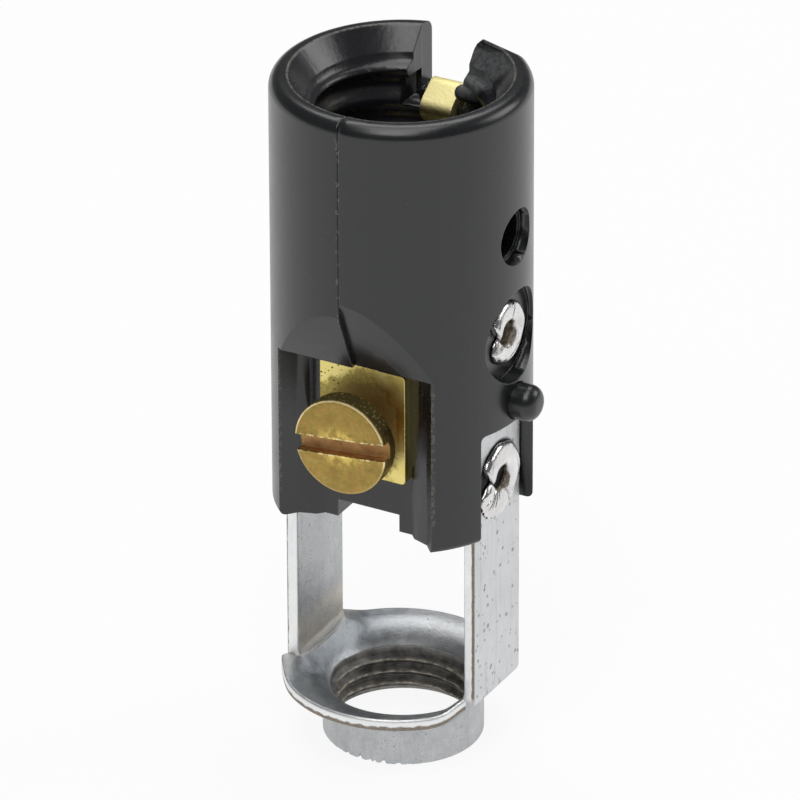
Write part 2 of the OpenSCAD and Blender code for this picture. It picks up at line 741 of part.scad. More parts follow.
// Rear plate with its strip, set out to the socket's wall and folded over at the top
module side_contact() {
    shift = riser_y - strip_y;
    slant = (shift - 2 * strip_bend * (1 - cos(set_out))) / sin(set_out);
    jog_z = socket_z + jog_rise;
    riser_z = jog_z + 2 * strip_bend * sin(set_out) + slant * cos(set_out);
    fold_z = rim_z - fold_drop - brass_t / 2 - fold_bend;
    color(BRASS) {
        mirror([0, 1, 0]) terminal_plate();
        folded_strip(strip_w, brass_t, at = [strip_y, strip_low_z], steps =
            [[jog_z - strip_low_z, strip_bend, set_out], [slant, strip_bend, -set_out],
             [fold_z - riser_z, fold_bend, -fold_turn], [fold_run, fold_bend, -tuck_turn],
             [tuck_run, 0, 0]]);
    }
}

// Slotted screw at the front, backed out, with its head towards -Y
module terminal_screw(turn) {
    rim = head_d / 2 - head_edge;
    rotate([90, 0, 0]) translate([0, screw_z, head_y]) difference() {
        union() {
            translate([0, 0, -shank_len]) cylinder(h = shank_len + head_edge, d = shank_d);
            rotate_extrude() polygon([[0, 0], [rim, 0], [head_d / 2, head_edge],
                [head_d / 2, head_h - head_edge], [rim, head_h], [0, head_h]]);
        }
        rotate([0, 0, turn]) translate([-head_d, -slot_w / 2, head_h - slot_h])
            cube([2 * head_d, slot_w, slot_h + past]);
    }
}

module front_terminal_screw() {
    color(DULL_BRASS) terminal_screw(slot_turn);
}

module rear_terminal_screw() {
    color(NICKEL) rotate([0, 0, 180]) terminal_screw(rear_slot_turn);
}

body_left();
body_right();
bracket();
upper_rivet();
lower_rivet();
centre_contact();
side_contact();
front_terminal_screw();
rear_terminal_screw();
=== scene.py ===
"""Finish of the candelabra lamp holder: camera, soft light, materials and the fine meshes."""

import math

import bmesh
import bpy
import numpy as np
from mathutils import Matrix, Vector


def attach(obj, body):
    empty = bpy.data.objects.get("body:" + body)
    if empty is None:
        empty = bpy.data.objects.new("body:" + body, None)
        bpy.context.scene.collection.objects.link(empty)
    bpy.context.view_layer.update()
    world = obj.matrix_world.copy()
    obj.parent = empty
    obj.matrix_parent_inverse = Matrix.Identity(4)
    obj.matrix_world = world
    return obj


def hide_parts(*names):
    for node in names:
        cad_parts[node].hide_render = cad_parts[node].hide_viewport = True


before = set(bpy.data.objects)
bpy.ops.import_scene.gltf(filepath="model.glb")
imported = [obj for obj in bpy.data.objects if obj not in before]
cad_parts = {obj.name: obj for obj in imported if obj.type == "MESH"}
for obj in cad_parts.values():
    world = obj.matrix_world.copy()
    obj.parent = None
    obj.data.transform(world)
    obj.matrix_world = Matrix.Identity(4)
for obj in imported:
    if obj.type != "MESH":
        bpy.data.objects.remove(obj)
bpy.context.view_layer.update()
MM = 0.001
CAMERA_AZIMUTH = 28.81


def array_of(owner, name, width=1, kind=np.float32):
    """One attribute of every item of a mesh's vertices, corners or faces, as rows of a width."""
    values = np.empty(len(owner) * width, dtype=kind)
    owner.foreach_get(name, values)
    return values.reshape(-1, width) if width > 1 else values


def box(node):
    """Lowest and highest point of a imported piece, in millimetres to the nearest hundredth."""
    points = array_of(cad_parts[node].data.vertices, "co", 3).astype(float) / MM
    return points.min(axis=0).round(2), points.max(axis=0).round(2)


def middle_z(node):
    """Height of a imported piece's middle."""
    low, high = box(node)
    return (low[2] + high[2]) / 2


# Sizes and places that the finishes and the fine meshes follow, in millimetres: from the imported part
BODY_R, _, RIM_Z = box("body_right")[1]
LEG_OUT, _, LEG_TOP = box("bracket")[1]
HEAD_R = box("front_terminal_screw")[1][0]
HEAD_OUT = -box("front_terminal_screw")[0][1]
PLATE_OUT, FOLD_TOP = -box("centre_contact")[0][1], box("side_contact")[1][2]
SCREW_Z, UPPER_RIVET_Z, LOWER_RIVET_Z = map(middle_z, ("front_terminal_screw", "upper_rivet", "lower_rivet"))

# and those that no box of it shows. The lower rivet is rolled over on the leg's outside.
MOUTH_R, RECESS_HALF = 7.72, 5.95
HUB_R, BORE_R, STEEL = 5.65, 5.1, 0.9
LEG_IN = LEG_OUT - STEEL
SLOT_HALF, FRONT_SLOT_TURN = 0.6, 6
UPPER_SEAT, LOWER_SEAT, LOWER_RIVET_R = 7.9, LEG_OUT, 2.6

# Points closer than this are one, in metres, and edges over this angle stay sharp on the fine meshes
WELD, FINE_ANGLE = 0.0002 * MM, 38


# Camera, floor and light


def make_camera(elevation, roll, distance, lens, target_z, shift_right, shift_up):
    """Looks at the lamp's axis from the camera's azimuth and an elevation in degrees, with its target
    set off by two small lengths along the picture's own right and up."""
    a, e, r = (math.radians(v) for v in (CAMERA_AZIMUTH, elevation, roll))
    back = Vector((math.sin(a) * math.cos(e), -math.cos(a) * math.cos(e), math.sin(e)))
    right = Vector((math.cos(a), math.sin(a), 0))
    up = back.cross(right)
    right, up = right * math.cos(r) + up * math.sin(r), up * math.cos(r) - right * math.sin(r)
    place = Vector((0, 0, target_z)) + right * shift_right + up * shift_up + back * distance
    data = bpy.data.cameras.new("camera")
    data.lens, data.sensor_width, data.clip_start = lens, 36, 0.01
    obj = bpy.data.objects.new("camera", data)
    obj.matrix_world = Matrix.Translation(place) @ Matrix((right, up, back)).transposed().to_4x4()
    bpy.context.scene.collection.objects.link(obj)
    bpy.context.scene.camera = obj


def softbox(name, turn, elevation, width, height, radiance):
    """A rectangular lamp that points at the holder, at a turn to the right of the camera's azimuth.
    Its power is pi times its area times the radiance that a reflection of it shows."""
    target, distance = Vector((0, 0, 0.03)), 1.0
    a, e = math.radians(CAMERA_AZIMUTH + turn), math.radians(elevation)
    data = bpy.data.lights.new(name, "AREA")
    data.shape = "RECTANGLE"
    data.size, data.size_y = width, height
    data.energy = math.pi * width * height * radiance
    obj = bpy.data.objects.new(name, data)
    back = Vector((math.sin(a) * math.cos(e), -math.cos(a) * math.cos(e), math.sin(e)))
    obj.location = target + distance * back
    obj.rotation_euler = (target - obj.location).to_track_quat("-Z", "Y").to_euler()
    bpy.context.scene.collection.objects.link(obj)


class Nodes:
    """Short calls that add nodes to a material or a group."""

    def __init__(self, tree):
        self.tree = tree

    def add(self, kind, links=(), **values):
        """A node with its settings; links maps an input to a socket that feeds it or to a value."""
        node = self.tree.nodes.new(kind)
        for key, value in values.items():
            setattr(node, key, value)
        for key, value in dict(links).items():
            self.feed(node.inputs[key], value)
        return node

    def feed(self, socket, value):
        if isinstance(value, bpy.types.NodeSocket):
            self.tree.links.new(value, socket)
        else:
            socket.default_value = value

    def math(self, operation, a, b=0.0, c=0.0):
        return self.add("ShaderNodeMath", {0: a, 1: b, 2: c}, operation=operation).outputs[0]

    def ramp(self, value, low, high, to_low=0.0, to_high=1.0):
        """A smooth step of a value from to_low at low to to_high at high."""
        return self.add("ShaderNodeMapRange", {"Value": value, "From Min": low, "From Max": high,
                                               "To Min": to_low, "To Max": to_high},
                        interpolation_type="SMOOTHSTEP").outputs["Result"]

    def band(self, value, low, high, soft):
        """1 between low and high, and 0 outside, with soft edges."""
        rise = self.ramp(value, low - soft, low + soft)
        return self.math("MULTIPLY", rise, self.ramp(value, high - soft, high + soft, 1.0, 0.0))

    def mix(self, share, a, b):
        """A mix of two colours."""
        node = self.add("ShaderNodeMix", {0: share}, data_type="RGBA")
        self.feed(node.inputs[6], a)
        self.feed(node.inputs[7], b)
        return node.outputs[2]

    def noise(self, place, size, detail=3.0, rough=0.55, stretch=None):
        """Noise whose features are about size millimetres across."""
        if stretch:
            place = self.add("ShaderNodeVectorMath", {0: place, 1: stretch}, operation="MULTIPLY").outputs[0]
        return self.add("ShaderNodeTexNoise", {"Vector": place, "Scale": 1 / (size * MM), "Detail": detail,
                                               "Roughness": rough}).outputs["Fac"]

    def split(self, vector):
        return self.add("ShaderNodeSeparateXYZ", {0: vector}).outputs


def make_world(floor_grey, room_grey):
    """A dim studio over a pale lower half."""
    world = bpy.data.worlds.new("studio")
    bpy.context.scene.world = world
    world.use_nodes = True
    world.node_tree.nodes.clear()
    n = Nodes(world.node_tree)
    height = n.split(n.add("ShaderNodeTexCoord").outputs["Generated"])["Z"]
    grey = n.ramp(height, -0.02, 0.02, floor_grey, room_grey)
    shade = n.add("ShaderNodeBackground", {"Color": grey})
    n.add("ShaderNodeOutputWorld", {"Surface": shade.outputs[0]})


def make_floor(size, paper, shown):
    """A wide plain floor. Camera, glossy and transmission rays see a share of plain white in it,
    so that it stays pale and keeps a light shadow."""
    h = size / 2
    mesh = bpy.data.meshes.new("floor")
    mesh.from_pydata([(-h, -h, 0), (h, -h, 0), (h, h, 0), (-h, h, 0)], [], [(0, 1, 2, 3)])
    obj = bpy.data.objects.new("floor", mesh)
    mat = bpy.data.materials.new("floor_paper")
    mat.use_nodes = True
    mat.node_tree.nodes.clear()
    n = Nodes(mat.node_tree)
    rays = n.add("ShaderNodeLightPath").outputs
    seen = n.math("MAXIMUM", rays["Is Camera Ray"], n.math("MAXIMUM", rays["Is Glossy Ray"],
                                                           rays["Is Transmission Ray"]))
    diffuse = n.add("ShaderNodeBsdfDiffuse", {"Color": (paper, paper, paper, 1)})
    white = n.add("ShaderNodeEmission", {"Color": (1, 1, 1, 1), "Strength": 1.0})
    both = n.add("ShaderNodeMixShader", {0: n.math("MULTIPLY", seen, shown), 1: diffuse.outputs[0],
                                         2: white.outputs[0]})
    n.add("ShaderNodeOutputMaterial", {"Surface": both.outputs[0]})
    mesh.materials.append(mat)
    bpy.context.scene.collection.objects.link(obj)


make_camera(elevation=27.87, roll=-0.21, distance=0.6569, lens=429.8,
            target_z=0.0254, shift_right=-0.000158, shift_up=0.000309)
make_world(floor_grey=0.95, room_grey=0.13)
make_floor(size=6, paper=0.93, shown=0.9)
softbox("key", turn=-10, elevation=59, width=0.52, height=0.56, radiance=3.6)
softbox("side", turn=103, elevation=28, width=0.52, height=0.42, radiance=3.2)
softbox("back", turn=180, elevation=57, width=0.8, height=0.42, radiance=3.0)
softbox("top", turn=0, elevation=89, width=0.6, height=0.5, radiance=2.6)
bpy.context.scene.view_settings.view_transform = "Standard"


# Effects that several materials share


def effect(name, inputs, outputs):
    """An empty node group with named inputs and outputs, ready for its nodes."""
    tree = bpy.data.node_groups.new(name, "ShaderNodeTree")
    for label, kind, value in inputs:
        socket = tree.interface.new_socket(label, in_out="INPUT", socket_type="NodeSocket" + kind)
        if value is not None:
            socket.default_value = value
    for label, kind in outputs:
        tree.interface.new_socket(label, in_out="OUTPUT", socket_type="NodeSocket" + kind)
    n = Nodes(tree)
    return n, n.add("NodeGroupInput").outputs, n.add("NodeGroupOutput").inputs


def make_patches():
    """Soft patches: noise of a size in millimetres, stretched in contrast about its middle."""
    n, given, out = effect("patches", [("Place", "Vector", None), ("Size", "Float", 1.0),
                                       ("Contrast", "Float", 2.0)], [("Mask", "Float")])
    scale = n.math("DIVIDE", 1 / MM, given["Size"])
    noise = n.add("ShaderNodeTexNoise", {"Vector": given["Place"], "Scale": scale, "Detail": 4.0,
                                         "Roughness": 0.6}).outputs["Fac"]
    lifted = n.math("MULTIPLY_ADD", n.math("SUBTRACT", noise, 0.5), given["Contrast"], 0.5)
    n.feed(out["Mask"], n.add("ShaderNodeClamp", {"Value": lifted}).outputs[0])
    return n.tree


def make_specks():
    """Round specks: one in some of the cells of a grid of a spacing in millimetres, with a radius
    that is a share of the spacing and changes from cell to cell."""
    n, given, out = effect("specks", [("Place", "Vector", None), ("Spacing", "Float", 0.3),
                                      ("Radius", "Float", 0.25), ("Share", "Float", 0.3)],
                           [("Mask", "Float")])
    scale = n.math("DIVIDE", 1 / MM, given["Spacing"])
    cells = n.add("ShaderNodeTexVoronoi", {"Vector": given["Place"], "Scale": scale}).outputs
    draw = n.split(cells["Color"])
    chosen = n.math("LESS_THAN", draw["X"], given["Share"])
    reach = n.math("MULTIPLY", given["Radius"], n.math("MULTIPLY_ADD", draw["Y"], 0.8, 0.4))
    inside = n.add("ShaderNodeMapRange", {"Value": n.math("SUBTRACT", cells["Distance"], reach),
                                          "From Min": -0.08, "From Max": 0.0, "To Min": 1.0,
                                          "To Max": 0.0}).outputs["Result"]
    n.feed(out["Mask"], n.math("MULTIPLY", inside, chosen))
    return n.tree


def make_worn_edge():
    """Rounds the edges in the normal by a radius in metres, and marks where that turns the surface,
    broken up by patches of a size in millimetres."""
    n, given, out = effect("worn_edge", [("Place", "Vector", None), ("Radius", "Float", 0.0001),
                                         ("Patch", "Float", 0.5), ("Cover", "Float", 0.5)],
                           [("Mask", "Float"), ("Normal", "Vector")])
    soft = n.add("ShaderNodeBevel", {"Radius": given["Radius"]}, samples=6).outputs[0]
    true = n.add("ShaderNodeNewGeometry").outputs["Normal"]
    turn = n.add("ShaderNodeVectorMath", {0: soft, 1: true}, operation="DOT_PRODUCT").outputs["Value"]
    edge = n.ramp(turn, 0.96, 0.82)
    scale = n.math("DIVIDE", 1 / MM, given["Patch"])
    noise = n.add("ShaderNodeTexNoise", {"Vector": given["Place"], "Scale": scale,
                                         "Detail": 3.0}).outputs["Fac"]
    gate = n.ramp(n.math("ADD", noise, given["Cover"]), 0.95, 1.1)
    n.feed(out["Mask"], n.math("MULTIPLY", edge, gate))
    n.feed(out["Normal"], soft)
    return n.tree


PATCHES, SPECKS, WORN_EDGE = make_patches(), make_specks(), make_worn_edge()


class Finish(Nodes):
    """A material under construction, with its place on the piece and its shader."""

    def __init__(self, name, metal, ior=1.5):
        self.mat = bpy.data.materials.new(name)
        self.mat.use_nodes = True
        super().__init__(self.mat.node_tree)
        self.shader = self.tree.nodes["Principled BSDF"]
        self.shader.inputs["Metallic"].default_value = metal
        self.shader.inputs["IOR"].default_value = ior
        coordinates = self.add("ShaderNodeTexCoord").outputs
        self.place, self.facing = coordinates["Object"], self.split(coordinates["Normal"])
        self.x, self.y, self.z = (self.math("DIVIDE", v, MM) for v in self.split(self.place))

    def use(self, tree, **links):
        """One of the shared effects, fed with this piece's place."""
        node = self.add("ShaderNodeGroup", node_tree=tree)
        for key, value in dict(links, Place=self.place).items():
            self.feed(node.inputs[key], value)
        return node.outputs

    def patches(self, size, contrast):
        return self.use(PATCHES, Size=size, Contrast=contrast)["Mask"]

    def specks(self, spacing, radius, share):
        return self.use(SPECKS, Spacing=spacing, Radius=radius, Share=share)["Mask"]

    def distance(self, *offsets):
        """Length of a vector given by its parts."""
        total = self.math("MULTIPLY", offsets[0], offsets[0])
        for part in offsets[1:]:
            total = self.math("MULTIPLY_ADD", part, part, total)
        return self.math("SQRT", total)

    def times(self, *shares):
        """The product of masks and shares."""
        product = shares[0]
        for share in shares[1:]:
            product = self.math("MULTIPLY", product, share)
        return product

    def most(self, *values):
        """The greatest of several values."""
        top = values[0]
        for value in values[1:]:
            top = self.math("MAXIMUM", top, value)
        return top

    def minus(self, a, b):
        return self.math("SUBTRACT", a, b)

    def finish(self, colour, rough, height, depth, normal=None):
        """Joins the last colour, roughness and height, whose depth is in millimetres, to the shader."""
        links = {"Height": height, "Distance": depth * MM, "Strength": 1.0}
        if normal is not None:
            links["Normal"] = normal
        bump = self.add("ShaderNodeBump", links).outputs[0]
        for name, value in (("Base Color", colour), ("Roughness", rough), ("Normal", bump)):
            self.feed(self.shader.inputs[name], value)
        return self.mat


# Finishes: each mask follows the place on the piece, in millimetres, or the way the surface faces


def phenolic():
    """Black moulding compound: clouded, streaked with drag marks inside the socket, dusty round the
    mouth, torn beside the notch, chipped along the seam between the halves and worn on the lips of the
    terminal recesses."""
    blue_black, grey_black = (0.0075, 0.0085, 0.0105, 1), (0.0105, 0.0115, 0.012, 1)
    inner_black, torn_grey = (0.0105, 0.01, 0.013, 1), (0.1, 0.103, 0.105, 1)
    dust_grey, chip_grey = (0.2, 0.195, 0.18, 1), (0.2, 0.19, 0.165, 1)
    lip_tan, edge_tan, fluff_grey = (0.19, 0.18, 0.13, 1), (0.16, 0.155, 0.135, 1), (0.13, 0.13, 0.12, 1)
    dull_rough = 0.7

    f = Finish("phenolic", metal=0.0, ior=1.6)
    edge = f.use(WORN_EDGE, Radius=0.13 * MM, Patch=0.4, Cover=0.52)
    clouds, flecks = f.patches(2.4, 2.2), f.patches(0.35, 3.5)
    across, from_axis = f.math("ABSOLUTE", f.x), f.distance(f.x, f.y)
    inside = f.ramp(from_axis, MOUTH_R + 0.03, MOUTH_R - 0.22)
    colour = f.mix(clouds, blue_black, grey_black)
    colour = f.mix(inside, colour, inner_black)

    mouth_edge = f.distance(f.minus(from_axis, MOUTH_R), f.minus(f.z, RIM_Z - 0.06))
    dust = f.times(f.ramp(mouth_edge, 0.13, 0.05), f.ramp(flecks, 0.1, 0.8, 0.3, 0.7))
    colour = f.mix(dust, colour, dust_grey)
    by_notch = f.times(f.ramp(f.x, 1.0, 2.0), f.ramp(f.y, 4.2, 4.8),
                       f.band(f.z, RIM_Z - 3.5, RIM_Z - 0.1, 0.2))
    torn = f.times(by_notch, inside, f.ramp(f.patches(0.3, 2.5), 0.1, 0.9, 0.5, 1.0))
    colour = f.mix(torn, colour, torn_grey)

    seam = f.times(f.ramp(across, 0.19, 0.09), f.ramp(from_axis, BODY_R - 0.8, BODY_R - 0.2))
    chips = f.times(seam, f.ramp(flecks, 0.62, 0.85), f.ramp(f.z, 30, 50, 0.25, 0.8))
    colour = f.mix(chips, colour, chip_grey)
    lip = f.times(f.band(across, RECESS_HALF - 0.1, RECESS_HALF + 0.15, 0.1), f.band(f.z, 20.5, 31.0, 0.6),
                  f.ramp(flecks, 0.35, 1.0, 0.05, 0.75), f.ramp(f.y, -4.5, -5.0))
    colour = f.mix(lip, colour, lip_tan)
    colour = f.mix(f.times(edge["Mask"], 0.7), colour, edge_tan)
    colour = f.mix(f.times(f.specks(0.9, 0.09, 0.2), 0.5), colour, fluff_grey)

    rough = f.math("MULTIPLY_ADD", clouds, 0.06, 0.25)
    rough = f.most(rough, f.times(f.most(torn, dust, chips, lip), dull_rough))
    skin = f.math("ADD", f.noise(f.place, 0.9, 4.0), f.times(f.noise(f.place, 0.12, 2.0), 0.12))
    drag_marks = f.times(inside, f.noise(f.place, 0.5, 3.0, 0.5, (1.0, 1.0, 0.12)))
    skin = f.math("ADD", f.minus(skin, f.times(chips, 2.0)), f.times(drag_marks, 3.4))
    return f.finish(colour, rough, skin, 0.006, edge["Normal"])


def zinc_plate():
    """Dull zinc on sheet steel: mottled and finely pitted, with bright sheared edges whose outer third
    is brown where the sheet broke off. The dish has a painted dark reflection at its front left, a
    painted shadow rings the lower rivet on the leg's outside, the left leg's foot is stained, and the
    hub's thread holds brown grime between worn crests."""
    dark_zinc, pale_zinc, outer_zinc = (0.42, 0.44, 0.46, 1), (0.76, 0.775, 0.78, 1), (0.92, 0.93, 0.935, 1)
    grain_grey, pit_grey, streak_grey = (0.27, 0.275, 0.28, 1), (0.18, 0.175, 0.17, 1), (0.34, 0.34, 0.35, 1)
    painted_shadow_black, stain_tan = (0.012, 0.012, 0.014, 1), (0.86, 0.78, 0.66, 1)
    dish_shade_dark, dish_shade_pale = (0.15, 0.17, 0.19, 1), (0.34, 0.37, 0.4, 1)
    groove_dark, groove_pale, crest_tan = (0.11, 0.107, 0.1, 1), (0.33, 0.32, 0.3, 1), (0.56, 0.5, 0.41, 1)
    cut_white, worn_grey = (0.96, 0.965, 0.965, 1), (0.75, 0.76, 0.77, 1)
    break_dark, break_brown = (0.12, 0.095, 0.07, 1), (0.34, 0.28, 0.22, 1)
    dull_rough = 0.6

    f = Finish("zinc_plate", metal=1.0)
    edge = f.use(WORN_EDGE, Radius=0.13 * MM, Patch=0.7, Cover=0.3)
    wide, middle = f.patches(2.6, 2.4), f.patches(0.7, 2.2)
    fine, grain = f.patches(0.16, 2.0), f.patches(0.09, 2.2)
    across, from_axis = f.math("ABSOLUTE", f.x), f.distance(f.x, f.y)
    colour = f.mix(f.math("ADD", f.times(wide, 0.45), f.times(middle, 0.55)), dark_zinc, pale_zinc)
    more_on_hub = f.ramp(f.z, 3.9, 3.6, 0.36, 0.56)
    colour = f.mix(f.times(grain, more_on_hub), colour, grain_grey)
    leg_outside = f.ramp(f.x, LEG_OUT - 0.15, LEG_OUT - 0.03)
    colour = f.mix(f.times(leg_outside, 0.4), colour, outer_zinc)
    holes = f.times(f.specks(0.45, 0.36, 0.6), leg_outside, f.ramp(f.patches(1.4, 3.0), 0.35, 0.6))
    pits = f.most(f.times(f.specks(0.3, 0.24, 0.3), f.ramp(middle, 0.35, 0.75)), holes)
    colour = f.mix(f.times(pits, 0.6), colour, pit_grey)
    streaks = f.ramp(f.noise(f.place, 0.35, 4.0, 0.6, (1.0, 1.0, 0.08)), 0.52, 0.7)
    colour = f.mix(f.times(streaks, 0.3), colour, streak_grey)
    # Painted shadow: a black ring on the leg's outside round the lower rivet, where its raised roll casts
    # shade.
    from_rivet = f.distance(f.y, f.minus(f.z, LOWER_RIVET_Z))
    painted_rivet_shadow = f.times(f.ramp(from_rivet, LOWER_RIVET_R + 0.3, LOWER_RIVET_R), leg_outside)
    colour = f.mix(painted_rivet_shadow, colour, painted_shadow_black)

    stain = f.times(f.ramp(f.patches(2.2, 4.0), 0.0, 1.0, 0.6, 1.0), f.band(f.z, 3.6, 8.3, 1.0),
                    f.ramp(f.x, -LEG_IN + 0.55, -LEG_IN + 0.15))
    colour = f.mix(f.times(stain, 0.7), colour, stain_tan)
    # Painted dark reflection: the dish's upward faces turn darker and bluer towards the front left.
    to_front_left = f.ramp(f.math("MULTIPLY_ADD", f.y, 0.5, f.x), 2.0, -4.5)
    dish_painted_shade = f.times(f.ramp(from_axis, BORE_R + 0.05, BORE_R + 0.4), f.ramp(f.facing["Z"], 0.2, 0.45),
                      f.band(f.z, 3.5, 5.6, 0.3), to_front_left)
    colour = f.mix(f.times(dish_painted_shade, 0.75), colour, f.mix(middle, dish_shade_dark, dish_shade_pale))
    in_hub = f.times(f.ramp(from_axis, BORE_R + 0.07, BORE_R + 0.01), f.ramp(f.z, 3.75, 3.35))
    crest = f.times(f.ramp(from_axis, BORE_R - 0.3, BORE_R - 0.42),
                    f.ramp(f.patches(0.5, 3.5), 0.2, 0.9, 0.15, 1.0))
    groove = f.mix(f.patches(0.8, 2.5), groove_dark, groove_pale)
    colour = f.mix(in_hub, colour, f.mix(crest, groove, crest_tan))

    ragged = f.math("MULTIPLY_ADD", f.noise(f.place, 0.5), 0.16, -0.08)
    leg_cut = f.times(f.ramp(f.math("ABSOLUTE", f.facing["Y"]), 0.75, 0.9),
                      f.band(across, LEG_IN - 0.15, LEG_OUT + 0.15, 0.05), f.ramp(f.z, 5.2, 5.8))
    break_line = f.ramp(f.x, -1, 1, LEG_OUT - 0.13, LEG_OUT - 0.28)
    leg_broken = f.times(leg_cut, f.ramp(f.minus(f.math("ADD", across, ragged), break_line), -0.03, 0.03))
    down_rim = f.add("ShaderNodeAttribute", attribute_name="down_rim").outputs["Fac"]
    rim_broken = f.ramp(f.math("ADD", down_rim, ragged), 0.7, 0.77)
    cut, broken = f.most(leg_cut, f.ramp(down_rim, 0.3, 0.45)), f.most(leg_broken, rim_broken)
    colour = f.mix(f.times(cut, 0.88), colour, cut_white)
    colour = f.mix(f.times(broken, 0.9), colour, f.mix(fine, break_dark, break_brown))
    worn = f.times(edge["Mask"], f.math("MULTIPLY_ADD", in_hub, -0.5, 0.5))
    colour = f.mix(worn, colour, worn_grey)

    rough = f.math("MULTIPLY_ADD", middle, 0.16, 0.38)
    rough = f.most(rough, f.times(f.most(broken, in_hub), dull_rough))
    skin = f.minus(f.math("ADD", f.times(fine, 0.5), f.times(middle, 0.9)), f.times(pits, 1.8))
    return f.finish(colour, rough, skin, 0.016, edge["Normal"])


def nickel_plate():
    """Bright nickel, dented a little, brown down in the rivets' hollows, and with painted shade where a
    split sinks the roll down to its seat."""
    dark_nickel, pale_nickel = (0.6, 0.59, 0.585, 1), (0.86, 0.855, 0.85, 1)
    speck_brown, split_shade_black = (0.3, 0.27, 0.24, 1), (0.02, 0.02, 0.022, 1)
    hollow_dark, hollow_pale = (0.15, 0.127, 0.1, 1), (0.42, 0.37, 0.3, 1)
    hollow_rough = 0.5

    f = Finish("nickel_plate", metal=1.0)
    wide, fine = f.patches(1.1, 2.0), f.patches(0.14, 2.5)
    colour = f.mix(wide, dark_nickel, pale_nickel)
    colour = f.mix(f.times(f.specks(0.3, 0.26, 0.3), 0.6), colour, speck_brown)
    upper = f.distance(f.y, f.minus(f.z, UPPER_RIVET_Z))
    lower = f.distance(f.y, f.minus(f.z, LOWER_RIVET_Z))
    clinched = f.ramp(f.x, LOWER_SEAT - 0.25, LOWER_SEAT - 0.15)
    hollow = f.times(f.ramp(f.math("MINIMUM", upper, lower), 1.12, 0.9), clinched)
    # Painted shade: the roll is painted black where a split sinks it down to its seat.
    by_upper = f.ramp(f.z, 27, 28, 0.0, UPPER_SEAT - LOWER_SEAT)
    split_painted_shade = f.times(f.ramp(f.minus(f.x, by_upper), LOWER_SEAT + 0.11, LOWER_SEAT + 0.05), clinched)
    colour = f.mix(split_painted_shade, colour, split_shade_black)
    colour = f.mix(hollow, colour, f.mix(fine, hollow_dark, hollow_pale))
    rough = f.most(f.math("MULTIPLY_ADD", wide, 0.1, 0.14), f.times(hollow, hollow_rough))
    skin = f.math("ADD", f.noise(f.place, 0.5, 3.0), f.times(fine, 0.15))
    return f.finish(colour, rough, skin, 0.03)


def brass():
    """Sheet brass, pitted at the front plate's left, with an olive painted shadow round each screw's head
    that turns brown close to it, and a painted highlight where it is folded over in the notch."""
    dark_brass, pale_brass, edge_pale = (0.78, 0.63, 0.18, 1), (0.9, 0.78, 0.32, 1), (0.92, 0.86, 0.56, 1)
    olive_dark, olive_pale = (0.45, 0.37, 0.105, 1), (0.64, 0.54, 0.17, 1)
    near_brown, pit_brown = (0.44, 0.335, 0.115, 1), (0.06, 0.04, 0.015, 1)
    fold_highlight_pale, fold_dot = (1.0, 0.92, 0.5, 1), (0.5, 0.4, 0.15, 1)
    shadow_left, dull_rough = 0.5, 0.6

    f = Finish("brass", metal=1.0)
    edge = f.use(WORN_EDGE, Radius=0.1 * MM, Patch=0.6, Cover=0.4)
    wide, fine = f.patches(1.5, 2.5), f.patches(0.22, 3.0)
    colour = f.mix(wide, dark_brass, pale_brass)
    # Painted shadow of the screw head on the plate: an olive halo, browner close to the head.
    from_screw = f.distance(f.math("ADD", f.x, shadow_left), f.minus(f.z, SCREW_Z))
    wander = f.math("MULTIPLY_ADD", wide, 1.6, f.minus(from_screw, 0.8))
    on_plate = f.ramp(f.math("ABSOLUTE", f.y), PLATE_OUT - 0.55, PLATE_OUT - 0.4)
    head_shadow_halo = f.times(f.ramp(wander, 4.3, 3.8), on_plate, f.ramp(f.x, 3.0, 2.5))
    near = f.ramp(f.math("ADD", wander, f.times(f.x, -0.2)), 4.1, 2.9)
    colour = f.mix(f.times(head_shadow_halo, 0.9), colour, f.mix(near, f.mix(fine, olive_dark, olive_pale), near_brown))
    pits = f.times(f.specks(0.34, 0.3, 0.75), f.ramp(f.x, -1.2, -2.0),
                   f.ramp(f.y, -PLATE_OUT + 0.65, -PLATE_OUT + 0.35))
    marks = f.most(pits, f.times(f.specks(0.4, 0.14, 0.3), 0.6))
    colour = f.mix(marks, colour, pit_brown)
    colour = f.mix(f.times(edge["Mask"], 0.6), colour, edge_pale)
    # Painted highlight: the fold in the notch is painted a pale, bright brass.
    fold_highlight = f.times(f.ramp(f.z, FOLD_TOP - 3.3, FOLD_TOP - 2.3), f.ramp(f.y, 4.5, 5.0))
    colour = f.mix(f.times(fold_highlight, 0.85), colour, f.mix(marks, fold_highlight_pale, fold_dot))
    rough = f.math("MULTIPLY_ADD", wide, 0.12, 0.32)
    rough = f.most(rough, f.times(f.most(head_shadow_halo, fold_highlight), dull_rough))
    return f.finish(colour, rough, f.minus(fine, f.times(marks, 3.0)), 0.008, edge["Normal"])


